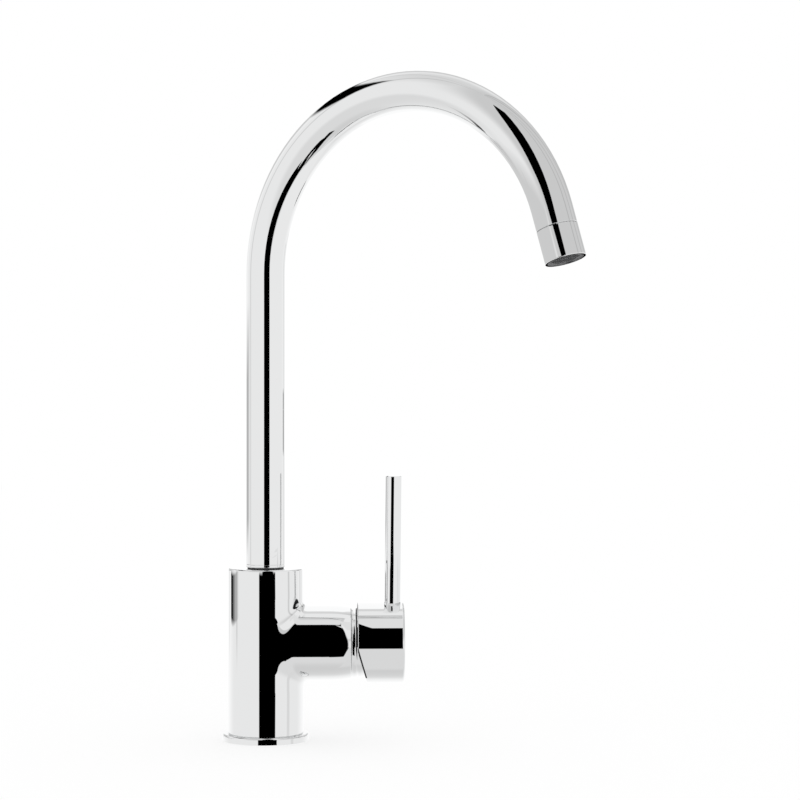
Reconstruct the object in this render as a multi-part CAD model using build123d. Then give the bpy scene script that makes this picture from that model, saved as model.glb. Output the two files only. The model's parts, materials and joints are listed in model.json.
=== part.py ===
from build123d import *
import os
from math import cos, radians, sin, sqrt, tan

# Single-lever kitchen mixer tap: an upright body whose side arm holds a ceramic cartridge,
# a swivelling swan-neck spout with an aerator, and a lever on the end of the arm.
# Millimetres and degrees. Z is up from the deck along the tap's axis, the arm points along
# +X, and the spout stands turned from the arm towards -Y.

# Clearances shared by every fit
SEAT_GAP = 0.05  # radial, between pieces that are screwed, pressed or glued together
BEARING_GAP = 0.06  # radial, at plain bearings and pivots
SWING_GAP = 0.4  # between pieces that move past each other
FILM_GAP = 0.05  # between the lapped ceramic discs

# Cartridge
CARTRIDGE_D = 35.0
CARTRIDGE_BASE_T = 5.0
HOUSING_WALL = 2.0
HOUSING_SHOULDER_T = 3.0
HOUSING_NECK_L = 6.5
HOUSING_NECK_WALL = 2.0
FIXED_DISC_T = 4.0
MOVING_DISC_T = 3.0
MIXING_POCKET_DEPTH = 1.6
CARRIER_T = 6.0
CARRIER_FLAT = 18.0  # across the flats that slide between the rotor's rails
ROTOR_FLANGE_T = 2.2
ROTOR_NECK_D = 21.2
ROTOR_NECK_OUT = 5.0  # past the end of the housing's neck
PORT_D = 7.0  # hot and cold ports
PORT_SPREAD = 17.0
PORT_RISE = 4.0  # hot and cold ports, above the cartridge's axis
OUTLET_PORT_D = 8.0
OUTLET_PORT_DROP = 7.0
PORT_SEAL_W = 1.8
PORT_SEAL_T = 2.0
BASE_PEG_D = 4.0
BASE_PEG_L = 3.0
BASE_PEG_SPREAD = 23.0
BASE_PEG_DROP = 8.0
STOP_DEPTH = 2.6  # temperature stop on the housing's inner wall
STOP_HALF_ANGLE = 6.0
TURN_HALF_RANGE = 50.0
STOP_SPARE_ANGLE = 2.0

# Stem, its pivot and the lever's lift
STEM_SQUARE = 8.0
STEM_EYE_D = 9.0
STEM_TAIL_D = 4.8
STEM_BALL_D = 6.0
STEM_BALL_PROUD = 1.6  # ball, out of the carrier's socket
PIVOT_PIN_D = 4.0
PIVOT_PIN_INSET = 1.0  # the pin's ends, inside the rotor's neck
PIVOT_OUT = 2.0  # pivot, past the end of the arm
LIFT_RANGE = 22.0
ROTOR_SLOT_H = 13.0
ROTOR_SEAL_SECTION = 1.5

# Arm and its collar
CHAMBER_GAP = 0.2
NUT_STEP = 0.6  # nut thread, outside the chamber's wall
NUT_THREAD_L = 6.0
NUT_HEAD_L = 5.0
NUT_HEAD_WALL = 2.2
NUT_SLOT_W = 4.0
NUT_SLOT_DEPTH = 3.0
NUT_SLOTS = 4
ARM_WALL = 4.45
ARM_EDGE = 0.8
ARM_CROWN_L = 13.5  # length of the arm that curves in towards its end
ARM_CROWN_R = 75.0
ARM_BLEND = 2.5  # fillet where the arm grows out of the body
CHAMBER_FLOOR = 22.0  # from the tap's axis
COLLAR_STEP = 1.75  # dome collar, below the arm's surface
COLLAR_WALL = 1.2
COLLAR_BASE_T = 4.6
COLLAR_MOUTH_D = 34.4
BEAD_CROWN = 0.35  # rounding of the collar's visible bead
BEAD_GAP = 0.4  # groove each side of the cap's rear edge
BEAD_GROOVE = 0.6

# Handle
CAP_GAP = 0.5
CAP_WALL = 2.9
CAP_LENGTH = 28.3
CAP_EDGE = 1.4
CAP_REAR_EDGE = 0.4
COLLAR_SHOWN = 3.7  # between the arm and the cap
SKIRT_KINK = 3.6  # below the axis, where the cap's rear edge starts to slant
SKIRT_SLANT = 16.0
BOSS_WALL = 4.0
BOSS_REACH = 20.0  # from the cap's end back over the stem
SOCKET_END_WALL = 3.0
ROD_D = 10.0
ROD_SHOWN = 76.8
ROD_SEAT = 3.0
ROD_INSET = 7.4  # rod's axis, from the cap's end
ROD_LEAN = 0.6
ROD_EDGE = 0.4
ROD_STUD_D = 6.0
ROD_STUD_L = 8.0
SET_SCREW_D = 5.0
SET_SCREW_KEY = 2.5
SET_SCREW_KEY_DEPTH = 2.5
HANDLE_SCREW_L = 8.0
HANDLE_PLUG_L = 3.0

# Body, flange and water ways
BODY_STEP = 0.25  # body, outside the arm's radius
BODY_EDGE = 1.0
BODY_FOOT_CHAMFER = 0.4
ARM_CLEAR = 31.85  # from the flange up to the underside of the arm
SPIGOT_D = 38.0
SPIGOT_LIFT = 1.0  # spigot's face, above the deck
FLANGE_T = 4.0
FLANGE_LIP = 3.5  # flange, outside the body
FLANGE_EDGE = 1.2
DECK_SEAL_W = 3.0
DECK_SEAL_T = 2.0
DECK_SEAL_INSET = 2.2  # seal, inside the flange's edge
INLET_X = 6.0
INLET_THREAD_D = 9.0  # core of an M10 x 1 thread
INLET_THREAD_L = 12.0
STUD_X = -9.0
STUD_THREAD_D = 6.8  # core of an M8 thread
STUD_THREAD_L = 14.0
RISER_D = 10.0
WAY_WALL = 3.5  # metal left between the inlets and the spout's socket

# Spout
SOCKET_D = 20.0
SOCKET_DEPTH = 34.4
TUBE_D = 24.0
TUBE_WALL = 1.0
TUBE_EDGE = 0.25  # chamfer where the tube meets its foot and its aerator
SPOUT_RISE = 176.1  # straight part, from the foot to the bend
BEND_R = 103.0
BEND_SWEEP = 163.0
SPOUT_END = 11.0  # straight part after the bend
SPOUT_TURN = 36.2  # from the arm towards the front, as it stands
FOOT_T = 1.8
FOOT_EDGE = 0.6
WASHER_T = 0.5
WASHER_INSET = 1.0  # washer, inside the tube's surface
SHANK_BORE_D = 12.0
SHANK_SPIGOT_L = 14.0
SHANK_END_GAP = 2.0
LAND_GAP = 0.4
SHANK_SEAL_SECTION = 2.2
BEARING_H = 3.0
BEARING_T = 1.4
GROOVE_GAP = 0.2  # each side of a ring in its groove
SHANK_PITCH = 5.4  # between the shank's grooves
LOCK_GROOVE_H = 4.0
LOCK_GROOVE_DEPTH = 2.2
LOCK_TIP_D = 3.0
LOCK_TIP_L = 2.2
LOCK_RECESS = 2.0  # screw's head, below the body's surface

# Aerator
AERATOR_L = 19.1
AERATOR_SEAM = 0.3  # between the tube's end and the aerator
AERATOR_WALL = 1.0
AERATOR_EDGE = 0.4
AERATOR_LIP_W = 0.6
AERATOR_LIP_T = 0.6
NIPPLE_THREAD_L = 8.0
NIPPLE_SPIGOT_L = 12.0
NIPPLE_WALL = 2.4
AERATOR_WASHER_T = 2.0
SCREEN_T = 0.6
SCREEN_CELL = 1.5
SCREEN_WEB = 0.9
INSERT_WEB_T = 4.0
INSERT_RIM = 1.2
INSERT_CELL = 2.0
INSERT_WEB = 0.5

# Radii that follow from the walls and clearances above
CARTRIDGE_R = CARTRIDGE_D / 2
CHAMBER_R = CARTRIDGE_R + CHAMBER_GAP
NUT_R = CHAMBER_R + NUT_STEP
ARM_R = NUT_R + ARM_WALL
BODY_R = ARM_R + BODY_STEP
FLANGE_R = BODY_R + FLANGE_LIP
SPIGOT_R = SPIGOT_D / 2
COLLAR_R = ARM_R - COLLAR_STEP
CAP_BORE_R = COLLAR_R + CAP_GAP
CAP_R = CAP_BORE_R + CAP_WALL
HOUSING_R = CARTRIDGE_R - HOUSING_WALL
ROTOR_R = HOUSING_R - SWING_GAP
ROTOR_NECK_R = ROTOR_NECK_D / 2
NECK_BORE_R = ROTOR_NECK_R + SWING_GAP
NECK_R = NECK_BORE_R + HOUSING_NECK_WALL
NUT_BORE_R = NECK_R + SWING_GAP
NUT_HEAD_R = NUT_BORE_R + NUT_HEAD_WALL
SOCKET_R = SOCKET_D / 2
TUBE_R = TUBE_D / 2
TUBE_BORE_R = TUBE_R - TUBE_WALL

# Places along the arm, from the tap's axis outwards
BASE_TOP = CHAMBER_FLOOR + CARTRIDGE_BASE_T
FIXED_DISC_TOP = BASE_TOP + FIXED_DISC_T
MOVING_DISC_LOW = FIXED_DISC_TOP + FILM_GAP
CARRIER_LOW = MOVING_DISC_LOW + MOVING_DISC_T
CARRIER_TOP = CARRIER_LOW + CARRIER_T
ROTOR_LOW = CARRIER_TOP + SWING_GAP
ROTOR_FLANGE_TOP = ROTOR_LOW + ROTOR_FLANGE_T
SHOULDER_LOW = ROTOR_FLANGE_TOP + SWING_GAP
SHOULDER_TOP = SHOULDER_LOW + HOUSING_SHOULDER_T
NECK_END = SHOULDER_TOP + HOUSING_NECK_L
ROTOR_END = NECK_END + ROTOR_NECK_OUT
ARM_END = SHOULDER_TOP + NUT_THREAD_L
PIVOT = ARM_END + PIVOT_OUT
CAP_REAR = ARM_END + COLLAR_SHOWN
CAP_END = CAP_REAR + CAP_LENGTH
STEM_END = CAP_END - SOCKET_END_WALL - SWING_GAP
ROD_PLACE = CAP_END - ROD_INSET

# The stem's ball and the disc that it pushes
BALL_PLACE = CARRIER_TOP - STEM_BALL_D / 2 + STEM_BALL_PROUD
TAIL_LEAN = LIFT_RANGE / 2
TAIL_L = (PIVOT - BALL_PLACE) / cos(radians(TAIL_LEAN))
DISC_TRAVEL = 2 * TAIL_L * sin(radians(TAIL_LEAN))
DISC_R = HOUSING_R - DISC_TRAVEL / 2 - 2 * SWING_GAP

# Heights above the deck
ARM_HEIGHT = FLANGE_T + ARM_CLEAR + ARM_R
SOCKET_FLOOR = ARM_HEIGHT + PORT_RISE + PORT_D / 2 + WAY_WALL
BODY_TOP = SOCKET_FLOOR + SOCKET_DEPTH
FOOT_LOW = BODY_TOP + WASHER_T + FILM_GAP
TUBE_LOW = FOOT_LOW + FOOT_T
BEND_START = TUBE_LOW + SPOUT_RISE
SHANK_LOW = SOCKET_FLOOR + SHANK_END_GAP
LOCK_HEIGHT = SHANK_LOW + SHANK_PITCH
SHANK_GROOVES = [LOCK_HEIGHT + SHANK_PITCH * step for step in range(1, 5)]

# Frames: the arm's axis as local Z, the spout's plane as local XZ, the outlet's flow as local Z
ARM = Plane(origin=(0, 0, ARM_HEIGHT), x_dir=(0, 1, 0), z_dir=(1, 0, 0))
SPOUT = Rot(0, 0, -SPOUT_TURN)
FLOW = (sin(radians(BEND_SWEEP)), 0, cos(radians(BEND_SWEEP)))
BEND_END = (BEND_R * (1 - FLOW[2]), 0, BEND_START + BEND_R * FLOW[0])
SEAM = (BEND_END[0] + SPOUT_END * FLOW[0], 0, BEND_END[2] + SPOUT_END * FLOW[2])
OUTLET = SPOUT * Plane(origin=SEAM, x_dir=(0, 1, 0), z_dir=FLOW).location


# Shapes used by several pieces


def rod(radius, low, high):
    """A cylinder on local Z between two places."""
    return Pos(0, 0, low) * extrude(Circle(radius), high - low)


def turned(*outline):
    """A solid of revolution about local Z through (radius, place) corners."""
    corners = [(radius, 0, place) for radius, place in outline]
    return revolve(make_face(Polyline(*corners, close=True).edges()), Axis.Z)


def ring(inner, outer, low, high):
    return turned((inner, low), (outer, low), (outer, high), (inner, high))


def o_ring(inner, section, place):
    return Pos(0, 0, place) * Torus(inner + section / 2, section / 2)


def block(width, height, low, high):
    """A bar on local Z: width across local X, height across local Y."""
    return Pos(0, 0, low) * extrude(Rectangle(width, height), high - low)


def sideways(radius, length):
    """A cylinder along local X, centred."""
    return Rot(0, 90, 0) * Cylinder(radius, length)


def upright(radius, low, high):
    """A cylinder along local Y between two places."""
    return Rot(-90, 0, 0) * rod(radius, low, high)


def edges_at(part, place, radius):
    """The circular edges of a turned piece at one place and radius."""
    found = part.edges().filter_by(GeomType.CIRCLE)
    return [
        edge
        for edge in found
        if abs(edge.radius - radius) < 0.01 and abs(edge.arc_center.Z - place) < 0.01
    ]


def set_screw(length, tip_length=0.0, tip_radius=0.0):
    """A headless screw on local Z with its key socket at the top end, z = length."""
    screw = rod(SET_SCREW_D / 2 - SEAT_GAP, 0, length)
    if tip_length:
        screw += rod(tip_radius, -tip_length, 0)
    key = RegularPolygon(SET_SCREW_KEY / 2, 6, major_radius=False)
    return screw - Pos(0, 0, length - SET_SCREW_KEY_DEPTH) * extrude(key, SET_SCREW_KEY_DEPTH)


def honeycomb(radius, cell, web):
    """Hexagonal holes on a close-packed grid, as many as fit inside a radius."""
    reach = int(radius / (cell + web)) + 1
    spots = [
        ((cell + web) * (column + row / 2), (cell + web) * row * sqrt(3) / 2)
        for row in range(-reach, reach + 1)
        for column in range(-2 * reach, 2 * reach + 1)
    ]
    corner = cell / sqrt(3)
    inside = [spot for spot in spots if sqrt(spot[0] ** 2 + spot[1] ** 2) + corner <= radius]
    hole = RegularPolygon(corner, 6, rotation=30)
    return Sketch() + [Pos(*spot) * hole for spot in inside]


def port_spots():
    """Hot, cold and mixed ports of the cartridge: place across, place up and diameter."""
    return [
        (PORT_SPREAD / 2, PORT_RISE, PORT_D),
        (-PORT_SPREAD / 2, PORT_RISE, PORT_D),
        (0, -OUTLET_PORT_DROP, OUTLET_PORT_D),
    ]


def port_holes(low, high):
    return [Pos(x, y, 0) * rod(wide / 2, low, high) for x, y, wide in port_spots()]


def base_pegs(gap, low, high):
    """The two locating pegs of the cartridge, or with a gap their holes."""
    sides = (-BASE_PEG_SPREAD / 2, BASE_PEG_SPREAD / 2)
    return [Pos(x, -BASE_PEG_DROP, 0) * rod(BASE_PEG_D / 2 + gap, low, high) for x in sides]


def sector(radius, half_angle, low, high):
    """A wedge about local Z, centred on local +Y."""
    wedge = make_face(
        [
            Line((0, 0), (radius * sin(radians(half_angle)), radius * cos(radians(half_angle)))),
            CenterArc((0, 0), radius, 90 - half_angle, 2 * half_angle),
            Line((-radius * sin(radians(half_angle)), radius * cos(radians(half_angle))), (0, 0)),
        ]
    )
    return Pos(0, 0, low) * extrude(wedge, high - low)


# Body and base


def tap_body():
    column = rod(BODY_R, FLANGE_T, BODY_TOP)
    column = fillet(edges_at(column, BODY_TOP, BODY_R), BODY_EDGE)
    column = chamfer(edges_at(column, FLANGE_T, BODY_R), BODY_FOOT_CHAMFER)
    joined = column + ARM * arm_stock()
    meeting = [edge for edge in joined.edges() if edge.geom_type == GeomType.BSPLINE]
    joined = fillet(meeting, ARM_BLEND)
    joined += rod(SPIGOT_R, SPIGOT_LIFT, FLANGE_T)
    joined -= rod(SOCKET_R, SOCKET_FLOOR, BODY_TOP)
    joined -= ARM * rod(CHAMBER_R, CHAMBER_FLOOR, SHOULDER_TOP)
    joined -= ARM * rod(NUT_R, SHOULDER_TOP, ARM_END)
    for hole in base_pegs(SEAT_GAP, CHAMBER_FLOOR - BASE_PEG_L - SEAT_GAP, CHAMBER_FLOOR):
        joined -= ARM * hole
    for way in water_ways():
        joined -= way
    joined -= Pos(STUD_X, 0, 0) * rod(STUD_THREAD_D / 2, SPIGOT_LIFT, SPIGOT_LIFT + STUD_THREAD_L)
    joined -= Pos(0, 0, LOCK_HEIGHT) * Rot(0, -90, 0) * rod(SET_SCREW_D / 2, 0, BODY_R)
    return joined


def arm_stock():
    """The arm before it is bored, curved in a little towards its end."""
    drop = ARM_CROWN_R - sqrt(ARM_CROWN_R**2 - ARM_CROWN_L**2)
    half_drop = ARM_CROWN_R - sqrt(ARM_CROWN_R**2 - (ARM_CROWN_L / 2) ** 2)
    start = Vector(ARM_R, 0, ARM_END - ARM_CROWN_L)
    middle = Vector(ARM_R - half_drop, 0, ARM_END - ARM_CROWN_L / 2)
    end = Vector(ARM_R - drop, 0, ARM_END)
    outline = [
        Line((0, 0, 0), (ARM_R, 0, 0)),
        Line((ARM_R, 0, 0), start),
        ThreePointArc(start, middle, end),
        Line(end, (0, 0, ARM_END)),
        Line((0, 0, ARM_END), (0, 0, 0)),
    ]
    stock = revolve(make_face(outline), Axis.Z)
    return fillet(edges_at(stock, ARM_END, end.X), ARM_EDGE)


def water_ways():
    """Hot and cold inlets up to the cartridge, and the mixed way to the spout's socket."""
    ways = []
    for side in (-1, 1):
        across = Pos(side * PORT_SPREAD / 2, PORT_RISE, 0) * rod(PORT_D / 2, INLET_X, CHAMBER_FLOOR)
        riser = Pos(INLET_X, side * PORT_SPREAD / 2, 0)
        thread_top = SPIGOT_LIFT + INLET_THREAD_L
        ways.append(ARM * across)
        ways.append(riser * rod(PORT_D / 2, thread_top, ARM_HEIGHT + PORT_RISE))
        ways.append(riser * rod(INLET_THREAD_D / 2, SPIGOT_LIFT, thread_top))
    mixed = Pos(0, -OUTLET_PORT_DROP, 0) * rod(OUTLET_PORT_D / 2, 0, CHAMBER_FLOOR)
    ways.append(ARM * mixed)
    ways.append(rod(RISER_D / 2, ARM_HEIGHT - OUTLET_PORT_DROP, SOCKET_FLOOR))
    return ways


def base_flange():
    flange = ring(SPIGOT_R + SEAT_GAP, FLANGE_R, 0, FLANGE_T)
    flange = fillet(edges_at(flange, FLANGE_T, FLANGE_R), FLANGE_EDGE)
    outer = FLANGE_R - DECK_SEAL_INSET
    return flange - ring(outer - DECK_SEAL_W, outer, 0, DECK_SEAL_T)


def deck_seal():
    outer = FLANGE_R - DECK_SEAL_INSET
    return ring(outer - DECK_SEAL_W + SEAT_GAP, outer - SEAT_GAP, 0, DECK_SEAL_T)


# Cartridge, on the arm's axis


def cartridge_base():
    base = rod(CARTRIDGE_R, CHAMBER_FLOOR, BASE_TOP)
    for hole in port_holes(CHAMBER_FLOOR, BASE_TOP):
        base -= hole
    for x, y, wide in port_spots():
        base -= Pos(x, y, 0) * rod(wide / 2 + PORT_SEAL_W, CHAMBER_FLOOR, CHAMBER_FLOOR + PORT_SEAL_T)
    for peg in base_pegs(0, CHAMBER_FLOOR - BASE_PEG_L, CHAMBER_FLOOR):
        base += peg
    return ARM * base


def port_seals():
    top = CHAMBER_FLOOR + PORT_SEAL_T
    seals = [
        Pos(x, y, 0) * ring(wide / 2, wide / 2 + PORT_SEAL_W - SEAT_GAP, CHAMBER_FLOOR, top)
        for x, y, wide in port_spots()
    ]
    return Compound([ARM * seal for seal in seals])


def fixed_disc():
    disc = rod(HOUSING_R - SEAT_GAP, BASE_TOP, FIXED_DISC_TOP)
    for hole in port_holes(BASE_TOP, FIXED_DISC_TOP):
        disc -= hole
    return ARM * disc


def moving_disc():
    disc = rod(DISC_R, MOVING_DISC_LOW, CARRIER_LOW)
    pocket = Pos(0, -DISC_R / 5) * Ellipse(DISC_R * 0.8, DISC_R / 2)
    disc -= Pos(0, 0, MOVING_DISC_LOW) * extrude(pocket, MIXING_POCKET_DEPTH)
    return ARM * Pos(0, -DISC_TRAVEL / 2, 0) * disc


def disc_carrier():
    carrier = rod(DISC_R, CARRIER_LOW, CARRIER_TOP)
    carrier &= block(CARRIER_FLAT, 2 * DISC_R, CARRIER_LOW, CARRIER_TOP)
    socket_low = PIVOT - TAIL_L - STEM_BALL_D / 2 - SWING_GAP
    carrier -= rod(STEM_BALL_D / 2 + SWING_GAP, socket_low, CARRIER_TOP)
    return ARM * Pos(0, -DISC_TRAVEL / 2, 0) * carrier


def cartridge_housing():
    housing = turned(
        (HOUSING_R, BASE_TOP),
        (CARTRIDGE_R, BASE_TOP),
        (CARTRIDGE_R, SHOULDER_TOP),
        (NECK_R, SHOULDER_TOP),
        (NECK_R, NECK_END),
        (NECK_BORE_R, NECK_END),
        (NECK_BORE_R, SHOULDER_LOW),
        (HOUSING_R, SHOULDER_LOW),
    )
    stop_low = ROTOR_LOW + SWING_GAP
    stop = sector(CARTRIDGE_R - HOUSING_WALL / 2, STOP_HALF_ANGLE, stop_low, SHOULDER_LOW)
    return ARM * (housing + (stop - rod(HOUSING_R - STOP_DEPTH, stop_low, SHOULDER_LOW)))


def stem_rotor():
    rotor = rod(ROTOR_R, ROTOR_LOW, ROTOR_FLANGE_TOP) + rod(ROTOR_NECK_R, ROTOR_FLANGE_TOP, ROTOR_END)
    free_angle = TURN_HALF_RANGE + STOP_HALF_ANGLE + STOP_SPARE_ANGLE
    notch = sector(HOUSING_R, free_angle, ROTOR_LOW, ROTOR_FLANGE_TOP)
    rotor -= notch - rod(HOUSING_R - STOP_DEPTH - SWING_GAP, ROTOR_LOW, ROTOR_FLANGE_TOP)
    rail_low = CARRIER_LOW + SWING_GAP
    rails = rod(ROTOR_R, rail_low, ROTOR_LOW)
    rails -= block(CARRIER_FLAT + 2 * SWING_GAP, 2 * ROTOR_R, rail_low, ROTOR_LOW)
    rotor += rails
    rotor -= block(STEM_SQUARE + 2 * SWING_GAP, ROTOR_SLOT_H, ROTOR_LOW, ROTOR_END)
    rotor -= Pos(0, 0, PIVOT) * sideways(PIVOT_PIN_D / 2, 2 * ROTOR_NECK_R)
    low = rotor_seal_place() - ROTOR_SEAL_SECTION / 2 - GROOVE_GAP
    high = rotor_seal_place() + ROTOR_SEAL_SECTION / 2 + GROOVE_GAP
    return ARM * (rotor - ring(rotor_groove_radius(), ROTOR_NECK_R, low, high))


def rotor_seal_place():
    return (SHOULDER_TOP + NECK_END) / 2


def rotor_groove_radius():
    return NECK_BORE_R - BEARING_GAP - ROTOR_SEAL_SECTION


def rotor_o_ring():
    return ARM * o_ring(rotor_groove_radius(), ROTOR_SEAL_SECTION, rotor_seal_place())


def stem_pin():
    length = 2 * (ROTOR_NECK_R - PIVOT_PIN_INSET)
    return ARM * Pos(0, 0, PIVOT) * sideways(PIVOT_PIN_D / 2 - SEAT_GAP, length)


def cartridge_stem():
    stem = block(STEM_SQUARE, STEM_SQUARE, 0, STEM_END - PIVOT)
    stem += sideways(STEM_EYE_D / 2, STEM_SQUARE)
    tail = rod(STEM_TAIL_D / 2, -TAIL_L, 0) + Pos(0, 0, -TAIL_L) * Sphere(STEM_BALL_D / 2)
    stem += Rot(-TAIL_LEAN, 0, 0) * tail
    stem -= sideways(PIVOT_PIN_D / 2 - SEAT_GAP + BEARING_GAP, STEM_SQUARE)
    return ARM * Pos(0, 0, PIVOT) * stem


def cartridge_nut():
    head_top = ARM_END + NUT_HEAD_L
    nut = turned(
        (NUT_BORE_R, SHOULDER_TOP),
        (NUT_R - SEAT_GAP, SHOULDER_TOP),
        (NUT_R - SEAT_GAP, ARM_END),
        (NUT_HEAD_R, ARM_END),
        (NUT_HEAD_R, head_top),
        (NUT_BORE_R, head_top),
    )
    slot = block(2 * NUT_HEAD_R, NUT_SLOT_W, head_top - NUT_SLOT_DEPTH, head_top)
    for step in range(NUT_SLOTS // 2):
        nut -= Rot(0, 0, 180 * step * 2 / NUT_SLOTS) * slot
    return ARM * nut


def dome_collar():
    """A beaded ring, then a dome centred on the lever's pivot so that the cap clears it."""
    mouth = COLLAR_MOUTH_D / 2
    inner_r = COLLAR_R - COLLAR_WALL
    seat = ARM_END + COLLAR_BASE_T
    bore = NUT_HEAD_R + SEAT_GAP
    bead_r = COLLAR_R - BEAD_CROWN
    groove_r = bead_r - BEAD_GROOVE
    bead_end = CAP_REAR - BEAD_GAP
    bead_top = (ARM_END + bead_end) / 2
    dome_low = CAP_REAR + BEAD_GAP
    rear = Vector(sphere_radius(COLLAR_R, dome_low), 0, dome_low)
    front = Vector(mouth, 0, PIVOT + sqrt(COLLAR_R**2 - mouth**2))
    inner_front = Vector(sphere_radius(inner_r, front.Z), 0, front.Z)
    inner_rear = Vector(sphere_radius(inner_r, seat), 0, seat)
    outline = [
        Line((bore, 0, ARM_END), (bead_r, 0, ARM_END)),
        ThreePointArc((bead_r, 0, ARM_END), (COLLAR_R, 0, bead_top), (bead_r, 0, bead_end)),
        Line((bead_r, 0, bead_end), (groove_r, 0, bead_end)),
        Line((groove_r, 0, bead_end), (groove_r, 0, dome_low)),
        Line((groove_r, 0, dome_low), rear),
        ThreePointArc(rear, sphere_point(COLLAR_R, rear, front), front),
        Line(front, inner_front),
        ThreePointArc(inner_front, sphere_point(inner_r, inner_front, inner_rear), inner_rear),
        Line(inner_rear, (bore, 0, seat)),
        Line((bore, 0, seat), (bore, 0, ARM_END)),
    ]
    return ARM * revolve(make_face(outline), Axis.Z)


def sphere_radius(radius, place):
    return sqrt(radius**2 - (place - PIVOT) ** 2)


def sphere_point(radius, start, end):
    """The point halfway along the arc about the pivot between two points."""
    place = (start.Z + end.Z) / 2
    return Vector(sphere_radius(radius, place), 0, place)


# Handle


def handle_cap():
    cap = rod(CAP_R, CAP_REAR, CAP_END)
    cap = fillet(edges_at(cap, CAP_END, CAP_R), CAP_EDGE)
    cap -= Pos(0, 0, PIVOT) * Sphere(CAP_BORE_R)
    cap -= rear_slant()
    cap = fillet(rear_rim(cap), CAP_REAR_EDGE)
    boss_r = STEM_SQUARE / 2 + BOSS_WALL
    cap += rod(boss_r, CAP_END - BOSS_REACH, CAP_END - CAP_EDGE)
    socket = STEM_SQUARE + 2 * SEAT_GAP
    cap -= block(socket, socket, CAP_END - BOSS_REACH, CAP_END - SOCKET_END_WALL)
    seat = Pos(0, 0, ROD_PLACE) * Rot(ROD_LEAN, 0, 0)
    cap -= seat * upright(ROD_D / 2, CAP_R - ROD_SEAT, CAP_R + ROD_D)
    cap -= seat * upright(ROD_STUD_D / 2, CAP_R - ROD_SEAT - ROD_STUD_L, CAP_R)
    return ARM * (cap - Pos(0, 0, ROD_PLACE) * upright(SET_SCREW_D / 2, -CAP_R, 0))


def rear_rim(cap):
    """The outer edges of the cap's rear, round the straight part and along the slant."""
    half = CAP_REAR + CAP_LENGTH / 2
    curved = cap.edges().filter_by(GeomType.LINE, reverse=True)
    outer = [edge for edge in curved if edge.center().Z < half]
    return [edge for edge in outer if all(off_axis(corner) > CAP_R - SEAT_GAP for corner in edge.vertices())]


def off_axis(corner):
    """A corner's distance from local Z."""
    return sqrt(corner.X**2 + corner.Y**2)


def rear_slant():
    """The wedge cut off the cap's lower rear edge, which lets the cap tip without touching the arm."""
    low = CAP_R + CAP_WALL
    reach = (low - SKIRT_KINK) * tan(radians(SKIRT_SLANT))
    wedge = Polyline(
        (0, -SKIRT_KINK, CAP_REAR),
        (0, -low, CAP_REAR + reach),
        (0, -low, CAP_REAR),
        close=True,
    )
    return extrude(make_face(wedge.edges()), CAP_R, dir=(1, 0, 0), both=True)


def lever_rod():
    top = CAP_R + ROD_SHOWN
    stem = rod(ROD_D / 2 - SEAT_GAP, CAP_R - ROD_SEAT, top)
    stem = chamfer(edges_at(stem, top, ROD_D / 2 - SEAT_GAP), ROD_EDGE)
    stem += rod(ROD_STUD_D / 2 - SEAT_GAP, CAP_R - ROD_SEAT - ROD_STUD_L + SEAT_GAP, CAP_R - ROD_SEAT)
    return ARM * Pos(0, 0, ROD_PLACE) * Rot(ROD_LEAN - 90, 0, 0) * stem


def handle_screw():
    screw = set_screw(HANDLE_SCREW_L)
    return ARM * Pos(0, -STEM_SQUARE / 2 - SEAT_GAP, ROD_PLACE) * Rot(90, 0, 0) * screw


def handle_plug():
    low = CAP_R - CAP_EDGE - HANDLE_PLUG_L
    plug = rod(SET_SCREW_D / 2 - SEAT_GAP, low, low + HANDLE_PLUG_L)
    return ARM * Pos(0, 0, ROD_PLACE) * Rot(90, 0, 0) * plug


# Spout, in its own plane and then turned


def spout_tube():
    section = Circle(TUBE_R) - Circle(TUBE_BORE_R)
    upright_part = Pos(0, 0, TUBE_LOW) * extrude(section, SPOUT_RISE)
    upright_part = chamfer(edges_at(upright_part, TUBE_LOW, TUBE_R), TUBE_EDGE)
    bend_axis = Axis((BEND_R, 0, BEND_START), (0, 1, 0))
    bend = revolve(Pos(0, 0, BEND_START) * section, bend_axis, BEND_SWEEP)
    end = extrude(section, SPOUT_END)
    end = chamfer(edges_at(end, SPOUT_END, TUBE_R), TUBE_EDGE)
    end = Plane(origin=BEND_END, x_dir=(0, 1, 0), z_dir=FLOW) * end
    return SPOUT * (upright_part + bend + end)


def spout_shank():
    """The brass foot that carries the tube and turns in the body's socket."""
    land = SOCKET_R - LAND_GAP
    shank = turned(
        (SHANK_BORE_D / 2, SHANK_LOW),
        (land, SHANK_LOW),
        (land, FOOT_LOW),
        (TUBE_R, FOOT_LOW),
        (TUBE_R, TUBE_LOW),
        (TUBE_BORE_R - SEAT_GAP, TUBE_LOW),
        (TUBE_BORE_R - SEAT_GAP, TUBE_LOW + SHANK_SPIGOT_L),
        (SHANK_BORE_D / 2, TUBE_LOW + SHANK_SPIGOT_L),
    )
    shank = fillet(edges_at(shank, FOOT_LOW, TUBE_R), FOOT_EDGE)
    shank = chamfer(edges_at(shank, TUBE_LOW, TUBE_R), TUBE_EDGE)
    half = LOCK_GROOVE_H / 2
    shank -= ring(land - LOCK_GROOVE_DEPTH, land, LOCK_HEIGHT - half, LOCK_HEIGHT + half)
    for place in bearing_places():
        half = BEARING_H / 2 + GROOVE_GAP
        shank -= ring(bearing_radius() - BEARING_T, land, place - half, place + half)
    for place in seal_places():
        half = SHANK_SEAL_SECTION / 2 + GROOVE_GAP
        shank -= ring(bearing_radius() - SHANK_SEAL_SECTION, land, place - half, place + half)
    return SPOUT * shank


def bearing_radius():
    return SOCKET_R - BEARING_GAP


def bearing_places():
    return [SHANK_GROOVES[0], SHANK_GROOVES[3]]


def seal_places():
    return [SHANK_GROOVES[1], SHANK_GROOVES[2]]


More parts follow.
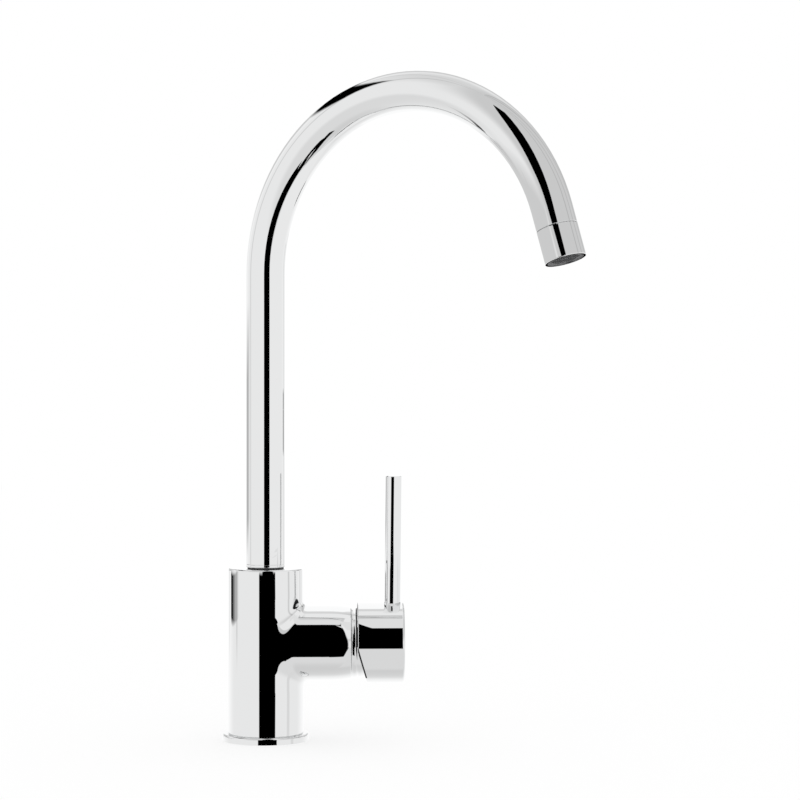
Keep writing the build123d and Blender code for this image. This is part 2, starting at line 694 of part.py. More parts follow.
def shank_bearings():
    outer = bearing_radius()
    half = BEARING_H / 2
    rings = [
        ring(outer - BEARING_T + SEAT_GAP, outer, place - half, place + half)
        for place in bearing_places()
    ]
    return Compound(rings)


def shank_o_rings():
    inner = bearing_radius() - SHANK_SEAL_SECTION
    return Compound([o_ring(inner, SHANK_SEAL_SECTION, place) for place in seal_places()])


def spout_washer():
    return ring(SOCKET_R, TUBE_R - WASHER_INSET, BODY_TOP, BODY_TOP + WASHER_T)


def spout_lock_screw():
    """The screw in the back of the body whose tip holds the shank down by its groove."""
    length = BODY_R - LOCK_RECESS - SOCKET_R
    screw = set_screw(length, LOCK_TIP_L, LOCK_TIP_D / 2)
    tip = SOCKET_R - LAND_GAP - LOCK_GROOVE_DEPTH + SWING_GAP
    return Pos(0, 0, LOCK_HEIGHT) * Rot(0, -90, 0) * Pos(0, 0, tip + LOCK_TIP_L) * screw


# Outlet and aerator, along the flow from the tube's end


def nipple_radius():
    return TUBE_R - AERATOR_WALL - SEAT_GAP


def nipple_bore():
    return nipple_radius() - NIPPLE_WALL


def outlet_nipple():
    nipple = rod(TUBE_BORE_R - SEAT_GAP, -NIPPLE_SPIGOT_L, 0)
    nipple += rod(nipple_radius(), 0, NIPPLE_THREAD_L)
    return OUTLET * (nipple - rod(nipple_bore(), -NIPPLE_SPIGOT_L, NIPPLE_THREAD_L))


def aerator_housing():
    bore = TUBE_R - AERATOR_WALL
    lip = AERATOR_L - AERATOR_LIP_T
    housing = turned(
        (bore, AERATOR_SEAM),
        (TUBE_R, AERATOR_SEAM),
        (TUBE_R, AERATOR_L),
        (bore - AERATOR_LIP_W, AERATOR_L),
        (bore - AERATOR_LIP_W, lip),
        (bore, lip),
    )
    housing = chamfer(edges_at(housing, AERATOR_SEAM, TUBE_R), TUBE_EDGE)
    return OUTLET * fillet(edges_at(housing, AERATOR_L, TUBE_R), AERATOR_EDGE)


def aerator_washer():
    top = NIPPLE_THREAD_L + AERATOR_WASHER_T
    return OUTLET * ring(nipple_bore(), nipple_radius(), NIPPLE_THREAD_L, top)


def aerator_screen():
    low = NIPPLE_THREAD_L + AERATOR_WASHER_T
    screen = Circle(nipple_radius()) - honeycomb(nipple_bore(), SCREEN_CELL, SCREEN_WEB)
    return OUTLET * Pos(0, 0, low) * extrude(screen, SCREEN_T)


def aerator_insert():
    """A cup between the screen and the lip, closed by a honeycomb that straightens the jet."""
    low = NIPPLE_THREAD_L + AERATOR_WASHER_T + SCREEN_T
    high = AERATOR_L - AERATOR_LIP_T
    hollow = nipple_radius() - INSERT_RIM
    cup = ring(hollow, nipple_radius(), low, high)
    grid = Circle(hollow) - honeycomb(hollow - INSERT_WEB, INSERT_CELL, INSERT_WEB)
    return OUTLET * (cup + Pos(0, 0, high - INSERT_WEB_T) * extrude(grid, INSERT_WEB_T))


PIECES = [
    tap_body,
    base_flange,
    deck_seal,
    cartridge_base,
    port_seals,
    fixed_disc,
    cartridge_housing,
    cartridge_nut,
    dome_collar,
    spout_washer,
    spout_lock_screw,
    moving_disc,
    disc_carrier,
    stem_rotor,
    rotor_o_ring,
    stem_pin,
    cartridge_stem,
    handle_cap,
    lever_rod,
    handle_screw,
    handle_plug,
    spout_tube,
    spout_shank,
    shank_o_rings,
    shank_bearings,
    outlet_nipple,
    aerator_housing,
    aerator_washer,
    aerator_screen,
    aerator_insert,
]


def main():
    os.makedirs("parts", exist_ok=True)
    for piece in PIECES:
        export_step(piece(), os.path.join("parts", piece.__name__ + ".step"))


if __name__ == "__main__":
    main()
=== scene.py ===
"""Kitchen mixer tap: finishes and a white light tent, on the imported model.

Run as a script, it gives every piece of the frame its finish and stands the tap in a light tent
whose camera slit and flags show as the black lines in its chrome.
"""

import json
from math import atan2, cos, hypot, pi, radians, sin, sqrt

import bpy
from bpy.props import FloatProperty, FloatVectorProperty, IntProperty, PointerProperty
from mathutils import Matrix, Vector


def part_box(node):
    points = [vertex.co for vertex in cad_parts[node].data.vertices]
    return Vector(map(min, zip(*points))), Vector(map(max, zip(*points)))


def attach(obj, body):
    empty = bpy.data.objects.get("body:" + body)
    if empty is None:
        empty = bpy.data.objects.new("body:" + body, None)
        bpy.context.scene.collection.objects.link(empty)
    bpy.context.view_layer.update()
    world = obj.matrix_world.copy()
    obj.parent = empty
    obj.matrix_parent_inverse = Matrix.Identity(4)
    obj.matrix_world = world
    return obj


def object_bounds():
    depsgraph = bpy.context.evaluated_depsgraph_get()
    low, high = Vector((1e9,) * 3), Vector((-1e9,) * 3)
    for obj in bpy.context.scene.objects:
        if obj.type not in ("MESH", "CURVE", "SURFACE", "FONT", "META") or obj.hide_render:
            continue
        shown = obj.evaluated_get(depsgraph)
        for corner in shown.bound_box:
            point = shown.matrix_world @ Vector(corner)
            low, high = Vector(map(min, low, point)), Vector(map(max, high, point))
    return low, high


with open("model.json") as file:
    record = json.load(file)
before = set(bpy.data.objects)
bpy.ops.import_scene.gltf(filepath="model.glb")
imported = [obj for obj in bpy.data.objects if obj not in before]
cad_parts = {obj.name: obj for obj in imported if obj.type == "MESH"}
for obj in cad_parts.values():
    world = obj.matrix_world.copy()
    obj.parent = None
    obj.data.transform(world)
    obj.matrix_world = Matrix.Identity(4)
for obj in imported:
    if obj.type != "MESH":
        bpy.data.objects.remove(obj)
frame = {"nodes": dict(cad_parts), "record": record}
cad_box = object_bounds()

bl_info = {
    "name": "Kitchen mixer tap",
    "version": (1, 0, 0),
    "blender": (4, 5, 0),
    "location": "3D View > Sidebar > Tap",
    "description": "Dresses a single-lever kitchen mixer tap and lights it in a white tent",
    "category": "Object",
}

WHITE = (1, 1, 1, 1)
WEAR_INPUTS = {"Cloud Scale": 30.0, "Mark Scale": 900.0, "Smoothest": 0.02, "Roughest": 0.08}
WEAR_SPAN = (0.12, 0.4)  # what cloud times marks comes to, from smoothest to roughest
CLOUD_DETAIL = 3.0
MARK_DETAIL = 2.0
MARK_DEPTH = 0.0002  # metres, at a bump of 1
SLANT_BACK = -0.3  # a face is slanted if its direction's x is below this
SLANT_DOWN = -0.2  # and its z below this
SEAM_RISE = 3 / 16  # share of the blend's softness by which it fills the seam
MEET_STEPS = 40  # halvings that find the blend's radius
OUTER_STEPS = 8  # rows of the skin beyond the arm's outline
WELD_DIGITS = 7  # decimals of a metre to which corners of the skin are one
FLOOR_GAP = 0.0003  # metres from the tap's underside down to the floor
SENSOR_WIDTH = 36.0  # millimetres
NEAR_CLIP = 0.01  # metres
FAR_CLIP = 50.0
CARD_LIGHT = {  # light from a card's front and from its back, where a white floor gives 1
    "black": (0.0, 0.0),
    "grey": (0.5, 0.5),
    "shade": (0.67, 0.67),
    "dull": (0.78, 0.78),
    "white": (0.84, 0.84),
    "pale": (0.93, 0.93),
    "two_sided": (0.93, 0.68),
    "bright": (1.1, 1.1),
}
THIN_FADE = (0.02, 0.02, 0.02, 0.02)  # shares of a card at its left, right, low and high edges
RIGHT_FRONT = (0.707, -0.707, 0)  # direction of the tent's right front corner
# Soft steps of the tent's light: start and end, over the direction's y, its z or its part to the right front
WALL_TO_BACK_Y = (0.3, 0.9)
LEVEL_TO_HIGH_Z = (0.05, 0.3)
HIGH_TO_ROOF_Z = (0.6, 0.95)
ROOF_SHARE = 0.65  # of the roof's dimness, where it isn't at the right front
SIDE_TO_RIGHT_FRONT = (-0.4, 0.0)
BACK_CLOTH_Y = (0.6, 0.85)
BACK_CLOTH_Z = (0.12, 0.3)
TABLE_Y = (0.8, -0.2)
TABLE_Z = (-0.12, -0.4)
NADIR_Z = (-0.8, -1.0)
SEAM_FOOT_Z = (-0.12, -0.095)
TENT_SEAMS = (  # turn from straight behind towards the right, and half width
    (radians(38), radians(4)),
    (radians(50), radians(6)),
    (radians(77), radians(4)),
    (radians(105), radians(5)),
    (radians(-38), radians(4)),
    (radians(-83), radians(5)),
)
SLOT_OF = {piece["node"]: piece["material_slot"] for piece in frame["record"]["subparts"]}
JOINTS = {joint["name"]: joint for joint in frame["record"]["behaviour"]["joints"]}


class TapFinishSettings(bpy.types.PropertyGroup):
    """Colours of the tap's materials, and the bounds of the painted shade on the cap."""

    chrome: FloatVectorProperty(
        name="Chrome", description="Colour of the chrome plate", subtype="COLOR", size=3,
        min=0, max=1, default=(0.862, 0.866, 0.868),
    )
    # painted shade: near-black colour for the cap's hollow, rear face and slanted edge, standing in for the
    # shadow in the gap to the collar
    cast: FloatVectorProperty(
        name="Painted shade inside", description="Colour of the shade-painted hollow inside the cap", subtype="COLOR",
        size=3, min=0, max=1, default=(0.04, 0.04, 0.042),
    )
    cast_roughness: FloatProperty(
        name="Painted shade roughness", description="Roughness of the shade-painted places on the cap",
        subtype="FACTOR", min=0, max=1, default=0.6,
    )
    cast_radius: FloatProperty(
        name="Painted shade radius", description="From the lever's pivot to the edge of the shade-painted hollow",
        unit="LENGTH", default=0.0222,
    )
    cast_rim: FloatProperty(
        name="Painted shade rim", description="Plated edge round the cap's shade-painted rear face",
        unit="LENGTH", default=0.0003,
    )
    cast_edge: FloatProperty(
        name="Painted shade edge", description="Width of the shade-painted edge along the cap's slant", unit="LENGTH",
        default=0.0009, precision=4,
    )
    cast_end: FloatProperty(
        name="Painted shade end", description="From the cap's underside up to where that edge ends", unit="LENGTH",
        default=0.0042, precision=4,
    )
    brass: FloatVectorProperty(
        name="Brass", description="Colour of bare turned brass", subtype="COLOR", size=3,
        min=0, max=1, default=(0.78, 0.62, 0.34),
    )
    steel: FloatVectorProperty(
        name="Steel", description="Colour of plain stainless steel", subtype="COLOR", size=3,
        min=0, max=1, default=(0.5, 0.505, 0.51),
    )
    rubber: FloatVectorProperty(
        name="Rubber", description="Colour of the seals", subtype="COLOR", size=3,
        min=0, max=1, default=(0.03, 0.03, 0.03),
    )
    dark_plastic: FloatVectorProperty(
        name="Dark plastic", description="Colour of the aerator's insert and the spout's bearings",
        subtype="COLOR", size=3, min=0, max=1, default=(0.05, 0.05, 0.053),
    )
    pale_plastic: FloatVectorProperty(
        name="Pale plastic", description="Colour of the cartridge's moulded pieces", subtype="COLOR",
        size=3, min=0, max=1, default=(0.78, 0.79, 0.8),
    )
    ceramic: FloatVectorProperty(
        name="Ceramic", description="Colour of the lapped discs", subtype="COLOR", size=3,
        min=0, max=1, default=(0.93, 0.92, 0.88),
    )


class TapBlendSettings(bpy.types.PropertyGroup):
    """Skin that carries the body smoothly into the arm."""

    softness: FloatProperty(
        name="Softness", description="Difference of squared radii over which body and arm blend in front",
        min=0, default=0.00032, precision=6,
    )
    side_share: FloatProperty(
        name="Side", description="Share of the softness left at the outlines above and below",
        subtype="FACTOR", min=0, max=1, default=0.65,
    )
    rise: FloatProperty(
        name="Rise", description="From the tap's axis to where the blend has its full softness",
        unit="LENGTH", default=0.008,
    )
    lift: FloatProperty(
        name="Lift", description="Skin above the solid", unit="LENGTH", default=0.00004, precision=6,
    )
    depth: FloatProperty(
        name="Depth", description="Skin's thickness, into the solid", unit="LENGTH", default=0.0004,
    )
    height: FloatProperty(
        name="Height", description="Skin's reach above and below the arm's axis",
        unit="LENGTH", default=0.028,
    )
    length: FloatProperty(
        name="Length", description="Skin's reach along the arm", unit="LENGTH", default=0.034,
    )
    steps: IntProperty(
        name="Steps", description="Rows from the arm's axis to its outline", min=8, default=36,
    )


class TapStageSettings(bpy.types.PropertyGroup):
    """Camera, floor and light tent."""

    camera_distance: FloatProperty(
        name="Camera distance", description="From the tap's axis to the camera",
        unit="LENGTH", default=1.3975,
    )
    camera_height: FloatProperty(
        name="Camera height", description="Above the deck", unit="LENGTH", default=0.206,
    )
    camera_aside: FloatProperty(
        name="Camera aside", description="To the right of the tap's axis", unit="LENGTH", default=0.0816,
    )
    camera_turn: FloatProperty(
        name="Camera turn", description="Round the tap's axis, from straight in front", subtype="ANGLE",
        default=radians(-1.9),
    )
    camera_lens: FloatProperty(
        name="Lens", description="Focal length on a 36 mm wide sensor", unit="CAMERA", default=103.5,
    )
    floor_size: FloatProperty(
        name="Floor size", description="Side of the square floor", unit="LENGTH", default=8.0,
    )
    floor_shade: FloatProperty(
        name="Floor shadow", description="How much of the tap's shadow the white floor shows",
        subtype="FACTOR", min=0, max=1, default=0.3,
    )
    wall_light: FloatProperty(
        name="Front wall", description="Brightness of the tent's front and side walls",
        min=0, max=2, default=0.92,
    )
    back_light: FloatProperty(
        name="Back wall", description="Brightness of the tent's back", min=0, max=2, default=1.06,
    )
    roof_dim: FloatProperty(
        name="Roof", description="Share of the light on the tent's roof and upper right front",
        subtype="FACTOR", min=0, max=1, default=0.72,
    )
    table_dim: FloatProperty(
        name="Table", description="Share of the light on the table in front of the tap", subtype="FACTOR",
        min=0, max=1, default=0.86,
    )
    nadir_dim: FloatProperty(
        name="Underside", description="Share of the light straight below the tap", subtype="FACTOR",
        min=0, max=1, default=0.88,
    )
    seam_dim: FloatProperty(
        name="Seams", description="Share of the light on the tent's upright seams", subtype="FACTOR",
        min=0, max=1, default=0.72,
    )
    hung_dim: FloatProperty(
        name="Back cloth", description="Share of the light high on the tent's back", subtype="FACTOR",
        min=0, max=1, default=0.6,
    )


def add_node(tree, kind, inputs=None, **settings):
    """Adds a node, sets its options, and links or sets its inputs."""
    node = tree.nodes.new(kind)
    for name, value in settings.items():
        setattr(node, name, value)
    for socket, value in (inputs or {}).items():
        if isinstance(value, bpy.types.NodeSocket):
            tree.links.new(value, node.inputs[socket])
        else:
            node.inputs[socket].default_value = value
    return node


def math_node(tree, operation, first, second):
    """The result of one sum."""
    return add_node(tree, "ShaderNodeMath", {0: first, 1: second}, operation=operation).outputs[0]


def step_node(tree, value, start, end, low=0.0, high=1.0):
    """A soft step from low to high as the value goes from start to end."""
    inputs = {"Value": value, "From Min": start, "From Max": end, "To Min": low, "To Max": high}
    return add_node(tree, "ShaderNodeMapRange", inputs, interpolation_type="SMOOTHSTEP").outputs["Result"]


def dim_node(tree, mask, share):
    """One where the mask is none, and the share where it is whole."""
    inputs = {"Value": mask, "To Min": 1.0, "To Max": share}
    return add_node(tree, "ShaderNodeMapRange", inputs).outputs["Result"]


def vector_node(tree, operation, first, second):
    """The number that one sum of two vectors gives."""
    inputs = {0: first, 1: second}
    return add_node(tree, "ShaderNodeVectorMath", inputs, operation=operation).outputs["Value"]


def mix_node(tree, factor, first, second, data_type):
    """From first to second as the factor goes from none to whole."""
    inputs = {"Factor": factor, "A": first, "B": second}
    return add_node(tree, "ShaderNodeMix", inputs, data_type=data_type).outputs["Result"]


def noise_node(tree, place, scale, detail):
    """Soft noise over the surface."""
    inputs = {"Vector": place, "Scale": scale, "Detail": detail}
    return add_node(tree, "ShaderNodeTexNoise", inputs).outputs["Fac"]


def wear_group():
    """Shader group of cloudy polish and fine marks, shared by all finishes."""
    name = "tap_fine_wear"
    if name in bpy.data.node_groups:
        return bpy.data.node_groups[name]
    tree = bpy.data.node_groups.new(name, "ShaderNodeTree")
    for label, default in WEAR_INPUTS.items():
        socket = tree.interface.new_socket(label, in_out="INPUT", socket_type="NodeSocketFloat")
        socket.default_value = default
    for label in ("Roughness", "Shade", "Height"):
        tree.interface.new_socket(label, in_out="OUTPUT", socket_type="NodeSocketFloat")
    given = add_node(tree, "NodeGroupInput").outputs
    place = add_node(tree, "ShaderNodeTexCoord").outputs["Object"]
    cloud = noise_node(tree, place, given["Cloud Scale"], CLOUD_DETAIL)
    marks = noise_node(tree, place, given["Mark Scale"], MARK_DETAIL)
    inputs = {
        "Value": math_node(tree, "MULTIPLY", cloud, marks),
        "From Min": WEAR_SPAN[0],
        "From Max": WEAR_SPAN[1],
        "To Min": given["Smoothest"],
        "To Max": given["Roughest"],
    }
    rough = add_node(tree, "ShaderNodeMapRange", inputs).outputs["Result"]
    add_node(tree, "NodeGroupOutput", {"Roughness": rough, "Shade": cloud, "Height": marks})
    return tree


def finish_material(name, colour, drift, scales, polish, bump, **values):
    """A finish whose colour drifts a little and whose polish varies over the surface.

    The scales are those of its clouds and marks, and the polish is its least and most roughness.
    """
    material = bpy.data.materials.new(name)
    material.use_nodes = True
    tree = material.node_tree
    shader = tree.nodes["Principled BSDF"]
    for socket, value in values.items():
        shader.inputs[socket].default_value = value
    wear = add_node(tree, "ShaderNodeGroup", node_tree=wear_group())
    for socket, value in zip(WEAR_INPUTS, (*scales, *polish)):
        wear.inputs[socket].default_value = value
    darker = [max(0.0, c - drift) for c in colour]
    lighter = [min(1.0, c + drift) for c in colour]
    tint = mix_node(tree, wear.outputs["Shade"], (*darker, 1), (*lighter, 1), "RGBA")
    tree.links.new(tint, shader.inputs["Base Color"])
    tree.links.new(wear.outputs["Roughness"], shader.inputs["Roughness"])
    if bump:
        inputs = {"Height": wear.outputs["Height"], "Strength": bump, "Distance": MARK_DEPTH}
        relief = add_node(tree, "ShaderNodeBump", inputs)
        tree.links.new(relief.outputs["Normal"], shader.inputs["Normal"])
    return material


def chrome_finish(colour, name="tap_chrome"):
    """Polished chrome plate."""
    return finish_material(
        name, colour, drift=0.006, scales=(18.0, 600.0), polish=(0.008, 0.024), bump=0.0, Metallic=1.0
    )


def slanted_face(node):
    """The piece's largest face that looks back along the arm and down."""
    faces = frame["nodes"][node].data.polygons
    slanted = [face for face in faces if face.normal.x < SLANT_BACK and face.normal.z < SLANT_DOWN]
    return max(slanted, key=lambda face: face.area)


def cap_chrome_and_painted_shade(settings):
    """Chrome plate with painted shade: the cap's hollow, its rear face and the slant's edge are coloured
    near black and made rough, standing in for the shadow in the gap to the collar.
    """
    material = chrome_finish(tuple(settings.chrome), "tap_chrome_cap")
    tree = material.node_tree
    shader = tree.nodes["Principled BSDF"]
    plate = shader.inputs["Base Color"].links[0].from_socket
    polish = shader.inputs["Roughness"].links[0].from_socket
    place = add_node(tree, "ShaderNodeTexCoord").outputs["Object"]
    axes = add_node(tree, "ShaderNodeSeparateXYZ", {"Vector": place}).outputs
    pivot = Vector(JOINTS["flow_lift"]["pos_m"])
    low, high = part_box("handle_cap")
    hollow = math_node(tree, "LESS_THAN", vector_node(tree, "DISTANCE", place, pivot), settings.cast_radius)
    flat = add_node(tree, "ShaderNodeVectorMath", {0: place, 1: (0, 1, 1)}, operation="MULTIPLY")
    radius = vector_node(tree, "DISTANCE", flat.outputs["Vector"], (0, pivot.y, pivot.z))
    within = math_node(tree, "LESS_THAN", radius, (high.y - low.y) / 2 - settings.cast_rim)
    behind = math_node(tree, "LESS_THAN", axes["X"], (low.x + high.x) / 2)
    rear = math_node(tree, "MULTIPLY", within, behind)
    slant = slanted_face("handle_cap")
    out = vector_node(tree, "DOT_PRODUCT", place, slant.normal)
    beside = math_node(tree, "GREATER_THAN", out, slant.normal.dot(slant.center) - settings.cast_edge)
    higher = math_node(tree, "GREATER_THAN", axes["Z"], low.z + settings.cast_end)
    edge = math_node(tree, "MULTIPLY", beside, higher)
    # painted shade: the hollow, the rear face and the slant's edge take the near-black colour and higher
    # roughness, standing in for the gap's shadow
    cast = math_node(tree, "MAXIMUM", math_node(tree, "MAXIMUM", hollow, rear), edge)
    colour = mix_node(tree, cast, plate, (*settings.cast, 1), "RGBA")
    rough = mix_node(tree, cast, polish, settings.cast_roughness, "FLOAT")
    tree.links.new(colour, shader.inputs["Base Color"])
    tree.links.new(rough, shader.inputs["Roughness"])
    return material


def brass_finish(colour):
    """Turned brass."""
    return finish_material(
        "tap_brass", colour, drift=0.05, scales=(40.0, 2500.0), polish=(0.2, 0.42), bump=0.25, Metallic=1.0
    )


def steel_finish(colour):
    """Plain stainless steel."""
    return finish_material(
        "tap_steel", colour, drift=0.03, scales=(60.0, 3000.0), polish=(0.18, 0.36), bump=0.2, Metallic=1.0
    )


def rubber_finish(colour):
    """Matt black seal rubber."""
    return finish_material(
        "tap_rubber", colour, drift=0.008, scales=(80.0, 2500.0), polish=(0.62, 0.9), bump=0.35
    )


def dark_plastic_finish(colour):
    """Moulded dark plastic."""
    return finish_material(
        "tap_dark_plastic", colour, drift=0.01, scales=(60.0, 3000.0), polish=(0.35, 0.55), bump=0.2
    )


def pale_plastic_finish(colour):
    """Moulded pale plastic."""
    return finish_material(
        "tap_pale_plastic", colour, drift=0.02, scales=(60.0, 3000.0), polish=(0.4, 0.6), bump=0.2
    )


def ceramic_finish(colour):
    """Lapped alumina."""
    return finish_material(
        "tap_ceramic", colour, drift=0.012, scales=(50.0, 2000.0), polish=(0.06, 0.16), bump=0.05
    )


FINISHES = {
    "chrome": chrome_finish,
    "brass": brass_finish,
    "steel": steel_finish,
    "rubber": rubber_finish,
    "dark_plastic": dark_plastic_finish,
    "pale_plastic": pale_plastic_finish,
    "ceramic": ceramic_finish,
}


def finish_for(slot):
    """The slot's material, made on first use from the scene's settings."""
    name = "tap_" + slot
    if name not in bpy.data.materials:
        FINISHES[slot](tuple(getattr(bpy.context.scene.tap_finish, slot)))
    return bpy.data.materials[name]


def put_on(node, material):
    """Gives one CAD node one material."""
    piece = frame["nodes"][node]
    piece.data.materials.clear()
    piece.data.materials.append(material)


def dress(*slots):
    """Gives every CAD node of these slots its finish."""
    for node, slot in SLOT_OF.items():
        if slot in slots:
            put_on(node, finish_for(slot))


class TAP_OT_chrome(bpy.types.Operator):
    """Plate the tap's visible shells"""

    bl_idname = "tap.chrome"
    bl_label = "Chrome shells"

    def execute(self, context):
        dress("chrome")
        # the cap gets chrome with painted shade in its hollow, on its rear face and along its slanted edge
        put_on("handle_cap", cap_chrome_and_painted_shade(context.scene.tap_finish))
        return {"FINISHED"}


class TAP_OT_metal(bpy.types.Operator):
    """Finish the bare brass and steel pieces"""

    bl_idname = "tap.metal"
    bl_label = "Brass and steel"

    def execute(self, context):
        dress("brass", "steel")
        return {"FINISHED"}


class TAP_OT_seals(bpy.types.Operator):
    """Finish the rubber seals"""

    bl_idname = "tap.seals"
    bl_label = "Seals"

    def execute(self, context):
        dress("rubber")
        return {"FINISHED"}


class TAP_OT_cartridge(bpy.types.Operator):
    """Finish the cartridge, the bearings and the aerator's insert"""

    bl_idname = "tap.cartridge"
    bl_label = "Cartridge and insert"

    def execute(self, context):
        dress("dark_plastic", "pale_plastic", "ceramic")
        return {"FINISHED"}


def new_object(name, data):
    """An object in the scene's collection."""
    piece = bpy.data.objects.new(name, data)
    bpy.context.scene.collection.objects.link(piece)
    return piece


def soft_step(share):
    """From 0 to 1, level at both ends."""
    share = min(max(share, 0.0), 1.0)
    return share * share * (3 - 2 * share)


class ArmBlend:
    """The body and the arm as one soft surface, measured from the crossing of their axes.

    Seen from the front, the square of the surface's distance is the body's radius squared less
    x squared, or the arm's radius squared less height squared. A soft greater of the two leaves
    both cylinders smoothly.
    """

    def __init__(self, settings):
        self.level = JOINTS["temperature_turn"]["pos_m"][2]
        low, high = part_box("tap_body")
        solid = [corner.co for corner in frame["nodes"]["tap_body"].data.vertices]
        arm = max(hypot(place.y, place.z - self.level) for place in solid if place.x > settings.length)
        self.body = (high.y - low.y) / 2 + settings.lift
        self.arm = arm + settings.lift
        self.settings = settings

    def soft(self, x):
        """The blend's softness: none at the tap's axis, most in front, less towards the outlines."""
        rise = self.settings.rise
        ebb = (1 - self.settings.side_share) * soft_step((x - rise) / (self.arm - rise))
        return self.settings.softness * soft_step(x / rise) * (1 - ebb)

    def square(self, x, height):
        """The square of the surface's distance in front of the axes."""
        body = self.body**2 - x * x
        arm = self.arm**2 - height * height
        soft = self.soft(x)
        if abs(body - arm) >= soft:
            return max(body, arm)
        share = 0.5 + 0.5 * (body - arm) / soft
        return arm + 2 * soft * (share**3 - share**4 / 2)

    def seam(self, height):
        """Where body and arm stand out alike: the place along the arm, and the distance in front."""
        x = sqrt(height * height + self.body**2 - self.arm**2)
        return x, sqrt(max(self.square(x, height), 0.0))

    def meet(self, gap, radius):
        """The radius, from a cylinder's outwards, at which the gap to the surface closes."""
        near, far = radius - self.settings.lift, radius + self.settings.rise / 2
        for _ in range(MEET_STEPS):
            middle = (near + far) / 2
            near, far = (middle, far) if gap(middle) < 0 else (near, middle)
        return (near + far) / 2

    def on_body(self, turn, height):
        """The surface at a turn round the tap's axis, from straight in front."""
        radius = self.meet(lambda r: (r * cos(turn)) ** 2 - self.square(r * sin(turn), height), self.body)
        return radius * sin(turn), radius * cos(turn), height

    def on_arm(self, x, turn):
        """The surface at a turn round the arm's axis, from straight in front."""
        radius = self.meet(lambda r: (r * cos(turn)) ** 2 - self.square(x, r * sin(turn)), self.arm)
        return x, radius * cos(turn), radius * sin(turn)

    def normal(self, x, front, height):
        """The surface's direction outwards."""
        step = self.settings.lift
        slope_x = (self.square(x + step, height) - self.square(x - step, height)) / (2 * step)
        slope_z = (self.square(x, height + step) - self.square(x, height - step)) / (2 * step)
        return Vector((-slope_x / 2, front, -slope_z / 2)).normalized()


def blend_grids(blend):
    """The front of the skin as two grids of places that share the seam: the body's and the arm's."""
    settings = blend.settings
    steps = settings.steps
    top = sqrt(blend.arm**2 + SEAM_RISE * blend.soft(blend.arm))
    heights = [top * sin(pi / 2 * row / steps) for row in range(steps + 1)]
    seams = [blend.seam(height) for height in heights]
    further = [step / OUTER_STEPS for step in range(1, OUTER_STEPS + 1)]
    rows = [(height, atan2(*seam)) for height, seam in zip(heights, seams)]
    rows += [(top + (settings.height - top) * share, pi / 2) for share in further]
    rows = [(-height, end) for height, end in reversed(rows[1:])] + rows
    columns = [(seam[0], atan2(height, seam[1])) for height, seam in zip(heights, seams)]
    columns += [(seams[-1][0] + (settings.length - seams[-1][0]) * share, pi / 2) for share in further]
    one_way = range(steps + 1)
    both_ways = range(-steps, steps + 1)
    body = [[blend.on_body(end * step / steps, height) for step in one_way] for height, end in rows]
    arm = [[blend.on_arm(x, end * step / steps) for step in both_ways] for x, end in columns]
    return body, arm


def skin_sheet(blend):
    """Corners, directions and faces of the skin's outside, front and back."""
    found = {}
    directions = []
    faces = []

    def corner(x, front, height, side):
        """The number of the corner at a place, which is added if it is new."""
        place = (x, side * front, blend.level + height)
        key = tuple(round(value, WELD_DIGITS) + 0.0 for value in place)  # adding 0.0 makes -0.0 plain
        if key not in found:
            found[key] = len(found)
            out = blend.normal(x, front, height)
            directions.append(Vector((out.x, side * out.y, out.z)))
        return found[key]

    for grid in blend_grids(blend):
        for near, far in zip(grid, grid[1:]):
            for around in zip(near, near[1:], far[1:], far):
                for side in (-1, 1):
                    ring = list(dict.fromkeys(corner(*place, side) for place in around))
                    if len(ring) > 2:
                        faces.append(ring)
    return [Vector(place) for place in found], directions, faces


def facing_out(ring, places, directions):
    """The face's corners, turned round where they run the wrong way."""
    first, second, third = (places[index] for index in ring[:3])
    turn = (second - first).cross(third - second)
    return ring if turn.dot(directions[ring[0]]) > 0 else ring[::-1]


def build_arm_blend(settings):
    """A thin closed skin over the place where the arm grows out of the body."""
    places, directions, faces = skin_sheet(ArmBlend(settings))
    faces = [facing_out(ring, places, directions) for ring in faces]
    count = len(places)
    sides = {(start, end) for ring in faces for start, end in zip(ring, ring[1:] + ring[:1])}
    rim = [(end, start, start + count, end + count) for start, end in sides if (end, start) not in sides]
    inside = [[index + count for index in reversed(ring)] for ring in faces]
    sunk = [place - direction * settings.depth for place, direction in zip(places, directions)]
    mesh = bpy.data.meshes.new("arm_blend")
    mesh.from_pydata(places + sunk, [], faces + inside + rim)
    mesh.materials.append(finish_for("chrome"))
    mesh.polygons.foreach_set("use_smooth", [True] * len(mesh.polygons))
    mesh.normals_split_custom_set_from_vertices(directions + [-direction for direction in directions])
    piece = new_object("arm_blend", mesh)
    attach(piece, "body")


class TAP_OT_blend(bpy.types.Operator):
    """Carry the body smoothly into the arm"""

    bl_idname = "tap.blend"
    bl_label = "Arm blend"

    def execute(self, context):
        build_arm_blend(context.scene.tap_blend)
        return {"FINISHED"}


def mix_shaders(tree, factor, first, second):
    """From the first shader to the second as the factor goes from none to whole."""
    inputs = {"Fac": factor, 1: first.outputs[0], 2: second.outputs[0]}
    return add_node(tree, "ShaderNodeMixShader", inputs).outputs[0]


def bare_material(name):
    """A material without nodes, and its node tree."""
    material = bpy.data.materials.new(name)
    material.use_nodes = True
    material.node_tree.nodes.clear()
    return material, material.node_tree


